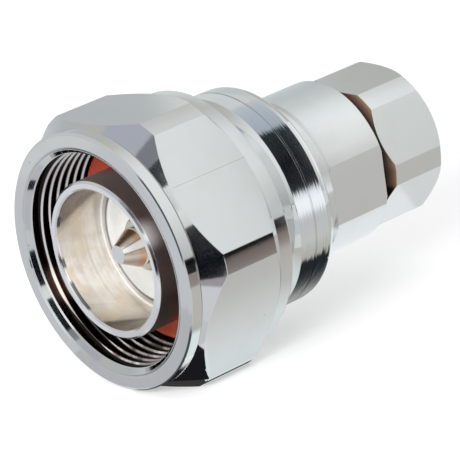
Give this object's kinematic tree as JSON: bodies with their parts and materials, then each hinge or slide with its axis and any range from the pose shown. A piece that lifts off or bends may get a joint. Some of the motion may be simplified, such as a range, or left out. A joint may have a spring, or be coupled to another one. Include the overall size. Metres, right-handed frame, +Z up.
{
  "type": "large coaxial connector plug",
  "caption": "Straight coaxial plug with a free-turning hexagonal coupling nut, a contact sleeve with a centre pin, a round flange and a screw clamp for braided cable.",
  "frame": {"origin": "on the connector's axis, at the front face of the coupling nut", "axes": "+Y along the connector's axis from the mating end to the cable end, +Z up with a flat of the coupling nut facing down"},
  "size_m": [0.0378, 0.0499, 0.034],
  "materials": {
    "nut_plating": "bright white-bronze plating on brass, milled flats",
    "body_plating": "bright white-bronze plating on brass, turned",
    "back_nut_plating": "bright white-bronze plating on brass, milled flats",
    "sleeve_silver": "satin silver plating on brass",
    "pin_silver": "bright silver plating on brass",
    "spring_steel": "spring steel",
    "plain_brass": "plated brass, turned",
    "white_bead": "waxy off-white plastic",
    "red_rubber": "matt red silicone rubber",
    "dark_rubber": "matt black rubber"
  },
  "bodies": {
    "connector": {"connector_body": "body_plating", "outer_contact": "sleeve_silver", "front_insulator": "white_bead", "centre_contact": "pin_silver", "mating_gasket": "red_rubber", "rear_insulator": "white_bead", "braid_clamp": "plain_brass", "cable_gasket": "dark_rubber"},
    "coupling": {"coupling_nut": "nut_plating", "nut_retaining_ring": "spring_steel"},
    "washer": {"thrust_washer": "plain_brass"},
    "clamp_nut": {"back_nut": "back_nut_plating"}
  },
  "joints": [
    {"name": "coupling_turn", "type": "hinge", "parent": "connector", "child": "coupling", "pos_m": [0, 0.0125, 0], "axis": [0, 1, 0], "continuous": true},
    {"name": "clamp_travel", "type": "slide", "parent": "connector", "child": "washer", "axis": [0, 1, 0], "range_m": [-0.0005, 0.006]},
    {"name": "clamp_turn", "type": "hinge", "parent": "washer", "child": "clamp_nut", "pos_m": [0, 0.0345, 0], "axis": [0, 1, 0], "range_deg": [-180, 2160]}
  ],
  "couplings": [
    {"joint": "clamp_travel", "follows": "clamp_turn", "m_per_rad": 0.00015915}
  ]
}
